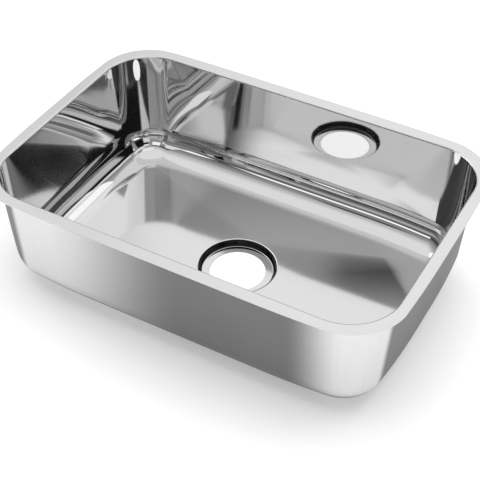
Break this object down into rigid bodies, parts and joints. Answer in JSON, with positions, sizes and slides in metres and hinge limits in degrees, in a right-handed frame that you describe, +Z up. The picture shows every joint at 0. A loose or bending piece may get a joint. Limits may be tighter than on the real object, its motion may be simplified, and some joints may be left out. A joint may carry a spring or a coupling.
{
  "type": "undermount kitchen sink",
  "caption": "Single-bowl pressed stainless undermount sink with a flat flange, coved floor, centred stepped drain dish and rubber sound pads under the floor.",
  "frame": {"origin": "under the middle of the drain hole, on the plane of the drain dish's underside, which is the lowest face", "axes": "+X along the long side, +Y from the front wall to the rear wall, +Z up, along the drain's axis"},
  "size_m": [0.671, 0.454, 0.2012],
  "materials": {
    "steel": "polished bowl with a satin flange",
    "pad_rubber": "matt"
  },
  "bodies": {
    "root": {"bowl": "steel", "pad_left": "pad_rubber", "pad_right": "pad_rubber", "pad_front": "pad_rubber", "pad_rear": "pad_rubber"}
  },
  "joints": []
}
